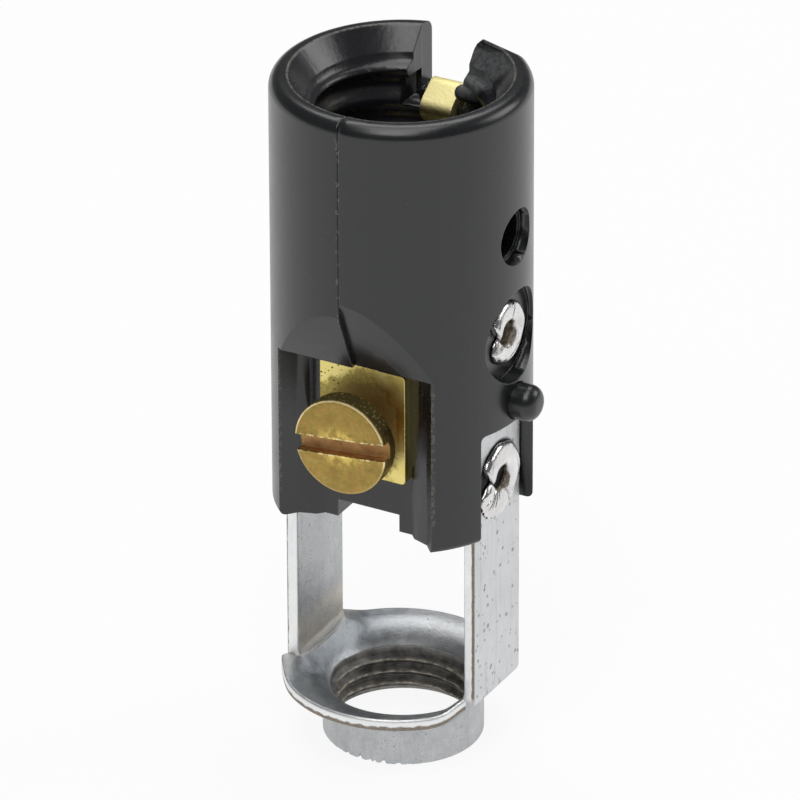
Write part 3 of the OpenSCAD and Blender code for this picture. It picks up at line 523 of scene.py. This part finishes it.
def dull_brass():
    """Old brass screw: dull gold face with rubbed spots by the slot and a painted highlight on its rim, an
    orange-brown slot, and a side with painted shade over its upper left, mottled with pale grains."""
    dark_gold, pale_gold = (0.29, 0.205, 0.055, 1), (0.46, 0.34, 0.09, 1)
    orange_tarnish, olive_tarnish = (0.52, 0.29, 0.09, 1), (0.2, 0.145, 0.045, 1)
    rubbed_gold, burr_gold, rim_highlight_gold = (0.95, 0.72, 0.19, 1), (1.0, 0.86, 0.45, 1), (1.0, 0.84, 0.44, 1)
    slot_dark, slot_pale = (0.46, 0.25, 0.11, 1), (0.72, 0.46, 0.21, 1)
    side_shade_dark, side_grain_pale = (0.21, 0.165, 0.065, 1), (0.62, 0.53, 0.28, 1)
    mark_brown, worn_gold = (0.1, 0.06, 0.02, 1), (0.85, 0.7, 0.36, 1)
    dull_rough = 0.62

    f = Finish("dull_brass", metal=1.0)
    edge = f.use(WORN_EDGE, Radius=0.07 * MM, Patch=0.5, Cover=0.45)
    wide, fine = f.patches(1.1, 2.5), f.patches(0.16, 3.0)
    colour = f.mix(wide, dark_gold, pale_gold)
    colour = f.mix(f.times(f.patches(0.6, 4.5), 0.4), colour, orange_tarnish)
    colour = f.mix(f.times(f.patches(0.2, 4.0), 0.3), colour, olive_tarnish)

    rise = f.minus(f.z, SCREW_Z)
    from_axis = f.distance(f.x, rise)
    turn = math.radians(FRONT_SLOT_TURN)
    past_slot = f.math("MULTIPLY_ADD", f.x, -math.sin(turn), f.times(rise, math.cos(turn)))
    from_slot = f.math("ABSOLUTE", past_slot)
    by_slot = f.times(f.ramp(f.distance(f.x, f.times(rise, 1.3)), 2.4, 0.7),
                      f.ramp(f.patches(0.45, 3.0), 0.15, 0.75))
    colour = f.mix(f.times(by_slot, 0.8), colour, rubbed_gold)
    burrs = f.times(f.band(from_slot, SLOT_HALF - 0.04, SLOT_HALF + 0.1, 0.03),
                    f.ramp(f.patches(0.35, 3.5), 0.3, 0.8), f.ramp(f.y, -HEAD_OUT + 0.15, -HEAD_OUT + 0.1))
    colour = f.mix(burrs, colour, burr_gold)

    behind_face = f.ramp(f.y, -HEAD_OUT + 0.18, -HEAD_OUT + 0.24)
    side = f.times(behind_face, f.ramp(from_axis, HEAD_R - 0.12, HEAD_R - 0.08))
    # Painted shade on the side of the head, darkest over its upper left, mottled with pale grains.
    shaded = f.times(side, f.ramp(f.minus(rise, f.x), -3.2, -0.6))
    in_slot = f.times(behind_face, f.ramp(from_axis, HEAD_R - 0.08, HEAD_R - 0.12))
    colour = f.mix(in_slot, colour, f.mix(wide, slot_dark, slot_pale))
    colour = f.mix(f.times(shaded, 0.95), colour, f.mix(f.specks(0.2, 0.42, 0.6), side_shade_dark, side_grain_pale))
    marks = f.times(f.specks(0.45, 0.16, 0.35), 0.7)
    colour = f.mix(marks, colour, mark_brown)
    colour = f.mix(f.times(edge["Mask"], 0.75), colour, worn_gold)
    # Painted highlight: a thin bright band on the head's rim, in patches, brighter towards the top.
    rim_highlight_share = f.ramp(f.math("ADD", f.patches(0.9, 2.5), f.times(rise, 0.25)), 0.0, 1.0, 0.15, 0.9)
    rim = f.times(f.band(from_axis, HEAD_R - 0.12, HEAD_R + 0.02, 0.03),
                  f.ramp(f.y, -HEAD_OUT + 0.24, -HEAD_OUT + 0.18), rim_highlight_share)
    colour = f.mix(rim, colour, rim_highlight_gold)
    rough = f.math("MULTIPLY_ADD", fine, 0.1, 0.36)
    rough = f.most(rough, f.times(f.most(shaded, in_slot), dull_rough))
    return f.finish(colour, rough, f.minus(fine, marks), 0.012, edge["Normal"])


FINISHES = {make.__name__: make() for make in (phenolic, zinc_plate, nickel_plate, brass, dull_brass)}


# Meshes: making, mending and shading them


def grid(name, points, close_rows=False, close_columns=True):
    """A mesh over a grid of points in millimetres, whose last row or column may join its first."""
    rows, columns = points.shape[:2]
    index = np.arange(rows * columns).reshape(rows, columns)
    if close_rows:
        index = np.vstack((index, index[:1]))
    if close_columns:
        index = np.hstack((index, index[:, :1]))
    quads = np.stack((index[:-1, :-1], index[1:, :-1], index[1:, 1:], index[:-1, 1:]), axis=-1)
    mesh = bpy.data.meshes.new(name)
    mesh.from_pydata(points.reshape(-1, 3) * MM, [], quads.reshape(-1, 4))
    return mesh


def ease_seam(bm, size, gap):
    """Takes a small chamfer off the body's outer edges in the plane x = 0, where the halves part: up
    the round wall and over the rim."""
    inner, wall, rim, sharp = 7.6 * MM, (BODY_R - 0.1) * MM, (RIM_Z - 1.3) * MM, 0.5
    outer = set()
    for v in bm.verts:
        away = math.hypot(v.co.x, v.co.y)
        if abs(v.co.x) < gap and away > inner and (away > wall or v.co.z > rim):
            outer.add(v)
    edges = [e for e in bm.edges if outer.issuperset(e.verts) and e.calc_face_angle(0) > sharp]
    bmesh.ops.bevel(bm, geom=edges, offset=size, segments=1, affect="EDGES", clamp_overlap=True)


def mend(mesh, gap, flat=None, outward=False, seam=0):
    """Merges points closer than a gap, joins faces that lie flat against each other within an angle,
    and may ease the seam between the halves and turn the faces outwards."""
    bm = bmesh.new()
    bm.from_mesh(mesh)
    bmesh.ops.remove_doubles(bm, verts=bm.verts, dist=gap)
    if flat:
        bmesh.ops.dissolve_limit(bm, angle_limit=flat, verts=bm.verts, edges=bm.edges)
    if seam:
        ease_seam(bm, seam, gap)
    if outward:
        bmesh.ops.recalc_face_normals(bm, faces=bm.faces)
    bm.to_mesh(mesh)
    bm.free()


def join(mesh, other):
    """Adds another mesh's faces to a mesh, and then drops the other."""
    bm = bmesh.new()
    bm.from_mesh(mesh)
    bm.from_mesh(other)
    bmesh.ops.remove_doubles(bm, verts=bm.verts, dist=WELD)
    bm.to_mesh(mesh)
    bm.free()
    bpy.data.meshes.remove(other)


def smooth(mesh, angle):
    """Smooth faces with sharp edges over an angle in degrees."""
    mesh.polygons.foreach_set("use_smooth", np.ones(len(mesh.polygons), dtype=bool))
    mesh.set_sharp_from_angle(angle=math.radians(angle))


def skin(name, points, join_rows=False, down_rim=None):
    """A closed mesh over a grid of points whose columns join up, and whose rows do when asked. Rows
    drawn together into one point close the ends. Each point may carry how far down a cut rim it is."""
    mesh = grid(name, points, join_rows)
    if down_rim is not None:
        mesh.attributes.new("down_rim", "FLOAT", "POINT").data.foreach_set("value", down_rim.ravel())
    mend(mesh, WELD, outward=True)
    smooth(mesh, FINE_ANGLE)
    return mesh


def add_piece(node, mesh, finish, body):
    """Links a mesh as the finished form of a CAD node, which rides on a body."""
    mesh.materials.clear()
    mesh.materials.append(FINISHES[finish])
    obj = bpy.data.objects.new(node + "_finished", mesh)
    bpy.context.scene.collection.objects.link(obj)
    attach(obj, body)
    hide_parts(node)
    return obj


def weigh_normals(obj):
    """Weights a piece's normals by area, so that flats stay flat beside their rounded edges."""
    weigh = obj.modifiers.new("weigh", "WEIGHTED_NORMAL")
    weigh.mode, weigh.keep_sharp, weigh.weight = "FACE_AREA", True, 50


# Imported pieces, shaded cleanly


def round_wall(mesh, radius):
    """Sets exact normals on two surfaces about Z, and leaves every other corner's normal as it is:
    the round wall looks straight away from the axis, and the mouth's bevel, which falls 1.6 over 1.25,
    looks in and up at a fixed slope."""
    fall, over, near_wall, near_slope = 1.6, 1.25, 0.02 * MM, 0.012
    corner = array_of(mesh.loops, "vertex_index", kind=np.int32)
    points = array_of(mesh.vertices, "co", 3)[corner].astype(float)
    normals = array_of(mesh.corner_normals, "vector", 3)
    sides = array_of(mesh.polygons, "loop_total", kind=np.int32)
    face = np.repeat(array_of(mesh.polygons, "normal", 3), sides, axis=0)
    length = np.hypot(points[:, 0], points[:, 1])
    outward = np.column_stack((points[:, :2] / np.maximum(length, 1e-9)[:, None], 0 * length))
    leaves_axis = np.sum(face * outward, axis=1)
    on_wall = (np.abs(length - radius) < near_wall) & (leaves_axis > 0.995)
    normals[on_wall] = outward[on_wall]
    slope = math.hypot(over, fall)
    on_bevel = (np.abs(face[:, 2] - over / slope) < near_slope) & (leaves_axis < -0.7)
    normals[on_bevel] = (0, 0, over / slope) - fall / slope * outward[on_bevel]
    mesh.normals_split_custom_set(normals)


def shade_copy(node, slot, wall=None):
    """Replaces a CAD node by a merged copy of the same form with clean normals. A body half also has
    its seam eased and the exact normals of its round wall."""
    gap, flat, sharp, seam = 0.001 * MM, math.radians(0.5), 31, 0.1 * MM
    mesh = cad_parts[node].data.copy()
    mend(mesh, gap, flat=flat, seam=seam if wall else 0)
    smooth(mesh, sharp)
    obj = add_piece(node, mesh, slot, "holder")
    weigh_normals(obj)
    if wall:
        bpy.context.view_layer.update()
        graph = bpy.context.evaluated_depsgraph_get()
        weighted = bpy.data.meshes.new_from_object(obj.evaluated_get(graph))
        obj.modifiers.clear()
        round_wall(weighted, wall)
        obj.data = weighted


# Fine pieces


def ripple(turn, *waves):
    """A sum of sines given as (count round the turn, share, phase): a repeatable uneven edge."""
    return sum(share * np.sin(count * turn + phase) for count, share, phase in waves)


def step(value):
    """A smooth step from 0 to 1."""
    t = np.clip(value, 0, 1)
    return t * t * (3 - 2 * t)


def bracket_sheet():
    """The bracket's drawn sheet, a section carried round the axis: up the bore, out over the dish's
    roll, which is an arc of radius 3.5 and flat beyond it, down the flange's cut edge, and back at a
    sheet's thickness underneath to the hub. The flange's round edge stands off the axis. Near each
    leg the sheet rises by a smooth step of x times one of y, and ends inside the leg's bend. The hub's
    lower edge is bitten by a sum of sines under a bell."""
    flange, shift_x, shift_y, soft = 8.1, -0.6, 0.25, 0.2
    roll, roll_at, roll_z = 3.5, 7.7, 1.2
    leg_at, leg_half, leg_fade = 6.95, 3.05, 0.35
    rise, rise_from, rise_run, rise_half, rise_fade = 0.9, 4.9, 1.9, 2.9, 3.3
    chamfer, bitten_at, bitten_width, bite = 0.16, math.radians(274), 0.42, 0.2
    turn = np.linspace(0, 2 * np.pi, 560, endpoint=False)
    c, s = np.cos(turn), np.sin(turn)
    toward = shift_x * c + shift_y * s
    rim = toward + np.sqrt(toward ** 2 - shift_x ** 2 - shift_y ** 2 + flange ** 2)
    leg_limit = leg_at / np.maximum(np.abs(c), 0.3)
    at_leg = 1 - step((np.abs(leg_limit * s) - leg_half) / leg_fade)
    rim = rim + (np.minimum(rim, leg_limit) - rim) * at_leg

    def surface(radius, arc):
        """Height of a face of the sheet: an arc about the roll's middle, and the rise at the legs."""
        inward = roll_at - np.minimum(radius, roll_at)
        x, y = np.abs(radius * c), np.abs(radius * s)
        risen = rise * step((x - rise_from) / rise_run) * (1 - step((y - rise_half) / rise_fade))
        return roll_z + np.sqrt(np.maximum(arc ** 2 - inward ** 2, 0.01)) + risen

    spread = np.sin(np.linspace(0, np.pi / 2, 34))[:, None]
    upper_r = BORE_R + (rim - soft - BORE_R) * spread
    upper_z = surface(upper_r, roll)
    under_r = HUB_R + (rim - soft - HUB_R) * spread[::-1]
    under_z = surface(under_r, roll - STEEL)
    bend = np.linspace(0, np.pi / 2, 6)[1:, None]
    down = np.linspace(0, 1, 6)[1:, None]
    high, low = upper_z[-1], under_z[0]
    edge_r = np.concatenate((rim - soft + soft * np.sin(bend), np.ones_like(down) * rim,
                             rim - soft + soft * np.cos(bend[:-1])))
    edge_z = np.concatenate((high - soft + soft * np.cos(bend),
                             high - soft - (high - low - 2 * soft) * down,
                             low + soft - soft * np.sin(bend[:-1])))

    level = 0 * turn
    bites = bite * np.exp(-((turn - bitten_at) / bitten_width) ** 2)
    bites = bites * np.clip(ripple(turn, (37, 1, 0), (61, 0.8, 1), (97, 0.5, 2)), 0, 2)
    wall_z = np.linspace(2.7, chamfer, 12)[:, None] + level
    foot_r = np.array((HUB_R - chamfer * 0.4, HUB_R - chamfer, BORE_R + 0.15, BORE_R))[:, None] + level
    foot_z = np.array((0.05, 0.0, 0.0, 0.12))[:, None] + level
    wall_z[-1] += bites
    foot_z[:3] += bites
    bore_z = np.linspace(0.3, 3.4, 10)[:, None] + level
    radius = np.concatenate((upper_r, edge_r, under_r, HUB_R + 0 * wall_z, foot_r, BORE_R + 0 * bore_z))
    height = np.concatenate((upper_z, edge_z, under_z, wall_z, foot_z, bore_z))
    down_rim = np.zeros_like(radius)
    first = len(upper_r)
    down_rim[first:first + len(edge_r)] = np.linspace(0.4, 1, len(edge_r))[:, None]
    points = np.stack((radius * c, radius * s, height), axis=-1)
    return skin("bracket_sheet", points, True, down_rim)


def bracket_leg(side):
    """A leg of the bracket: a flat strip of rounded rectangular section, carried from the bend at its
    foot, whose outer side follows a quarter circle, up to a top with rounded corners. A small hollow
    bend fills its inner side where it meets the sheet."""
    half, foot, soft, top_corner = 3.25, 5.5, 0.13, 0.5
    fill, fill_z, fill_height = 0.28, 5.3, 0.8
    bend = np.linspace(-np.pi / 2, 0, 10)
    cap = np.linspace(0, np.pi / 2, 8)[1:]
    z = np.concatenate((foot + STEEL * np.sin(bend), foot + np.linspace(0.05, 0.9, 8),
                        np.linspace(foot + 2, LEG_TOP - top_corner, 12),
                        LEG_TOP - top_corner * (1 - np.sin(cap))))
    outer = np.full_like(z, LEG_OUT)
    outer[:len(bend)] = LEG_IN + np.maximum(STEEL * np.cos(bend), 0.3)
    inner = LEG_IN - fill * np.clip(1 - (z - fill_z) / fill_height, 0, 1) ** 2
    wide = np.full_like(z, half)
    wide[-len(cap):] = half - top_corner * (1 - np.cos(cap))
    left, right, depth = inner[:, None], outer[:, None], wide[:, None]
    corner = np.repeat(np.arange(4), 6)
    angle = corner * np.pi / 2 + np.tile(np.linspace(0, np.pi / 2, 6), 4)
    outwards, forwards = np.isin(corner, (0, 3)), np.isin(corner, (0, 1))
    x = np.where(outwards, right - soft, left + soft) + soft * np.cos(angle)
    y = np.where(forwards, depth - soft, soft - depth) + soft * np.sin(angle)
    points = np.stack((side * x, y, z[:, None] + 0 * x), axis=-1)
    middle = points.mean(axis=1, keepdims=True) + 0 * points
    return skin("bracket_leg", np.concatenate((middle[:1], points, middle[-1:])))


def hub_thread():
    """Pipe thread in the hub. Its inner radius is the bore's less a ridge, a wave of height over pitch
    minus the share of a turn, with a narrow crest and a low second one in the groove, faded out at both
    ends. Its outer side is sunk in the bore's wall."""
    depth, pitch, bottom, top, sunk = 0.46, 0.94, 0.15, 3.1, 0.02
    crest, second_crest = 1.7, 0.3
    turn = np.linspace(0, 2 * np.pi, 240, endpoint=False)
    z = np.linspace(bottom, top, 120)[:, None]
    wave = 1 - np.abs(2 * ((z / pitch - turn / (2 * np.pi)) % 1) - 1)
    wave = np.clip(wave * crest - 0.6, 0, 1) + second_crest * np.clip(1 - wave * 3.2, 0, 1)
    fade = np.clip((z - bottom) / 0.3, 0, 1) * np.clip((top - z) / 0.35, 0, 1)
    nicks = 1 - 0.06 * ripple(turn, (17, 1, 0), (41, 0.6, 2))
    inner = BORE_R - 0.01 - depth * wave * fade * nicks
    radius = np.concatenate((inner, np.full((2, len(turn)), BORE_R + sunk)))
    height = np.broadcast_to(np.concatenate((z, [[top], [bottom]])), radius.shape)
    points = np.stack((radius * np.cos(turn), radius * np.sin(turn), height), axis=-1)
    return skin("hub_thread", points, True)


def bracket():
    """The bracket as one piece: its drawn sheet, the two legs and the hub's thread."""
    mesh = bracket_sheet()
    for other in (bracket_leg(-1), bracket_leg(1), hub_thread()):
        join(mesh, other)
    smooth(mesh, FINE_ANGLE)
    weigh_normals(add_piece("bracket", mesh, "zinc_plate", "holder"))


def split(turn, middle, width):
    """How far a rim is whole, from 0 in the middle of a split to 1 beyond its half width in degrees."""
    away = np.abs((turn - np.radians(middle) + np.pi) % (2 * np.pi) - np.pi)
    return np.clip(away / np.radians(width), 0, 1)


def rivet(node, z, seat, head, ring, gaps, torn, lean):
    """A tubular rivet through both sides, as a profile carried round its axis: a domed factory head,
    a shank, and an end rolled outwards round a hollow. The roll's section is half an ellipse, drawn in
    to the hollow's edge where the rim has split, and rippled where it is torn between two turns. The
    first split leans: the roll is turned by lean at its inner side, fading away from the split."""
    shank, hollow, deep, dome, crown, thin = 1.28, 0.84, 1.0, 0.8, 0.56, 0.06
    tear_fade, lean_width, blunt = 0.15, 0.8, 0.75
    turn = np.linspace(0, 2 * np.pi, 400, endpoint=False)
    one = np.ones_like(turn)
    whole = np.prod([split(turn, middle, width) for middle, width in gaps], axis=0)
    rough = np.clip(np.minimum(turn - np.radians(torn[0]), np.radians(torn[1]) - turn) / tear_fade, 0, 1)
    near_split = np.exp(-((turn - np.radians(gaps[0][0])) / lean_width) ** 2)
    lip = hollow * (1 + ripple(turn, (2, 0.1, 1.1), (3, 0.05, 0.4)))
    fray = rough * (0.12 + ripple(turn, (29, 0.02, 0), (47, 0.015, 1)))
    reach = ring * (1 + ripple(turn, (3, 0.02, 0.5), (8, 0.012, 1)) + fray)
    reach = lip + thin + (reach - lip - thin) * whole ** 0.7

    bow = np.linspace(0, np.pi / 2, 14)[:, None]
    arc = np.linspace(0, np.pi, 34)[:, None]
    sunk = np.clip(1 - whole / 0.55, 0, 1)
    uneven = 1 - 0.25 * rough + ripple(turn, (2, 0.06, 2.6), (5, 0.03, 1))
    lift = crown * whole ** 0.5 * uneven + 0.03 * sunk
    furrow = rough * np.sin(arc) * (ripple(turn, (31, 0.022, 0), (53, 0.016, 1.4), (83, 0.01, 0.3)) - 0.03)
    crease = 0.05 * np.exp(-((arc - 1.25) / 0.16) ** 2) * ripple(turn, (1, 0.6, 2.2), (4, 0.5, 0.2))
    end = seat + crown
    radii = [head * np.sin(bow) * one, np.linspace(head, shank, 5)[1:, None] * one,
             np.full((24, 1), shank) * one,
             shank + (reach - 0.1 - shank) * np.linspace(0, 1, 6)[1:, None],
             (reach + lip) / 2 + (reach - lip) / 2 * np.cos(arc),
             np.linspace(1, 0.86, 8)[:, None] * lip, np.linspace(0.8, 0, 6)[:, None] * lip]
    along = [-seat - dome * np.cos(bow) * one, np.full((4, 1), -seat) * one,
             np.linspace(-seat, seat, 24)[:, None] * one, np.full((5, 1), seat) * one,
             seat + lift * np.sin(arc) ** blunt + furrow - crease,
             np.linspace(seat, end - deep, 8)[:, None] * one,
             np.linspace(end - deep, end - deep - 0.1, 6)[:, None] * one]
    radius, x = np.concatenate(radii), np.concatenate(along)
    inward = np.zeros((len(radius), 1))
    in_hollow = len(radii[-1]) + len(radii[-2])
    inward[-in_hollow:] = 1
    inward[-in_hollow - len(arc):-in_hollow] = (1 - np.cos(arc)) / 2
    angle = turn + lean * inward * near_split
    points = np.stack((x, radius * np.cos(angle), z + radius * np.sin(angle)), axis=-1)
    add_piece(node, skin(node, points), "nickel_plate", "holder")


def screw_face(name):
    """The head's slotted face and its outline. The face is a grid of rows along the slot: a row at a
    distance s from the middle runs to the root of the head's radius squared less s squared, and rows
    at the slot's edges are repeated down its walls, with burrs along its lips."""
    slot_deep, edge_drop, edge_power, burr_width = 0.8, 0.1, 14, 0.09
    outer = HEAD_R * np.sin(np.linspace(math.asin(SLOT_HALF / HEAD_R), np.pi / 2, 30))
    walls, floor = np.full(4, SLOT_HALF), np.linspace(-SLOT_HALF, SLOT_HALF, 7)[1:-1]
    down = np.linspace(0, slot_deep, 6)[1:-1]
    s = np.concatenate((-outer[::-1], -walls, floor, walls, outer))[:, None]
    level = np.concatenate((0 * outer, down, 0 * floor + slot_deep, down[::-1], 0 * outer))[:, None]
    u = np.sin(np.linspace(-np.pi / 2, np.pi / 2, 70))
    x = u * np.sqrt(np.maximum(HEAD_R ** 2 - s ** 2, 0))
    s = s * np.ones_like(u)
    burr = np.exp(-((np.abs(s) - SLOT_HALF) / burr_width) ** 2) * (level == 0)
    notched = ripple(x, (9.1, 0.5, 1), (23, 0.35, 0.3), (41, 0.25, 2)) * np.sign(s)
    out = -level - edge_drop * (np.hypot(x, s) / HEAD_R) ** edge_power * (level < slot_deep)
    out = out + burr * (0.035 + 0.03 * notched)
    on_wall = (level > 0) & (np.abs(s) > SLOT_HALF - 0.1)
    s = s + burr * 0.03 * notched - 0.018 * ripple(x, (6, 1, 0)) * on_wall
    face = np.stack((x, out, s), axis=-1)
    return grid(name, face, close_columns=False), np.concatenate((face[:, -1], face[::-1, 0]))


def screw(node, side, slot_turn, finish, body):
    """A slotted flat-headed screw: the outline of its face is carried back along the head's side and
    in to a shank whose radius follows a helical saw tooth."""
    thick, length, pitch, shank, tooth_deep = 1.6, 3.6, 0.8, 1.68, 0.3
    mesh_face, rim = screw_face(node + "_face")
    bearing = np.arctan2(rim[:, 2], rim[:, 0])
    ring = np.stack((np.cos(bearing), np.zeros_like(bearing), np.sin(bearing)), axis=-1)
    grit = 1 - 0.004 * np.abs(ripple(bearing, (37, 1, 0), (61, 0.7, 1)))[:, None]
    steps = np.linspace(0.08, 0.94, 7)[:, None, None]
    back = np.array((0, -1, 0))
    sides = rim * (1 - steps) + (HEAD_R * ring + thick * back) * steps
    sides = sides * (grit * (1, 0, 1) + (0, 1, 0))
    under = ring * np.array((HEAD_R - 0.1, 2.4, shank))[:, None, None] + thick * back
    run = np.linspace(0, length, 60)[:, None]
    tooth = np.abs(2 * ((run / pitch - bearing / (2 * np.pi)) % 1) - 1)
    core = (shank - tooth_deep * tooth) * np.clip((length - run) / 0.5 + 0.6, 0, 1)
    thread = ring * core[..., None] + (thick + run)[..., None] * back
    tip = (0 * ring + (thick + length) * back)[None]
    mesh = skin(node, np.concatenate((rim[None], sides, under, thread, tip)))
    join(mesh, mesh_face)

    x, y, z = array_of(mesh.vertices, "co", 3).T / MM
    a = math.radians(slot_turn)
    placed = np.stack((x * math.cos(a) - z * math.sin(a), side * (y + HEAD_OUT),
                       x * math.sin(a) + z * math.cos(a) + SCREW_Z), axis=-1)
    mesh.vertices.foreach_set("co", (placed * MM).ravel())
    mend(mesh, WELD, outward=True)
    smooth(mesh, FINE_ANGLE)
    add_piece(node, mesh, finish, body)


shade_copy("body_left", "phenolic", wall=BODY_R * MM)
shade_copy("body_right", "phenolic", wall=BODY_R * MM)
shade_copy("centre_contact", "brass")
shade_copy("side_contact", "brass")
bracket()
rivet("upper_rivet", z=UPPER_RIVET_Z, seat=UPPER_SEAT, head=2.3, ring=2.3, gaps=[(176, 30), (72, 4)],
      torn=(0, 0), lean=0.5)
rivet("lower_rivet", z=LOWER_RIVET_Z, seat=LOWER_SEAT, head=LOWER_RIVET_R, ring=LOWER_RIVET_R,
      gaps=[(171, 25), (291, 4)], torn=(188, 288), lean=0.4)
screw("front_terminal_screw", side=-1, slot_turn=FRONT_SLOT_TURN, finish="dull_brass", body="front_screw")
screw("rear_terminal_screw", side=1, slot_turn=-20, finish="nickel_plate", body="rear_screw")
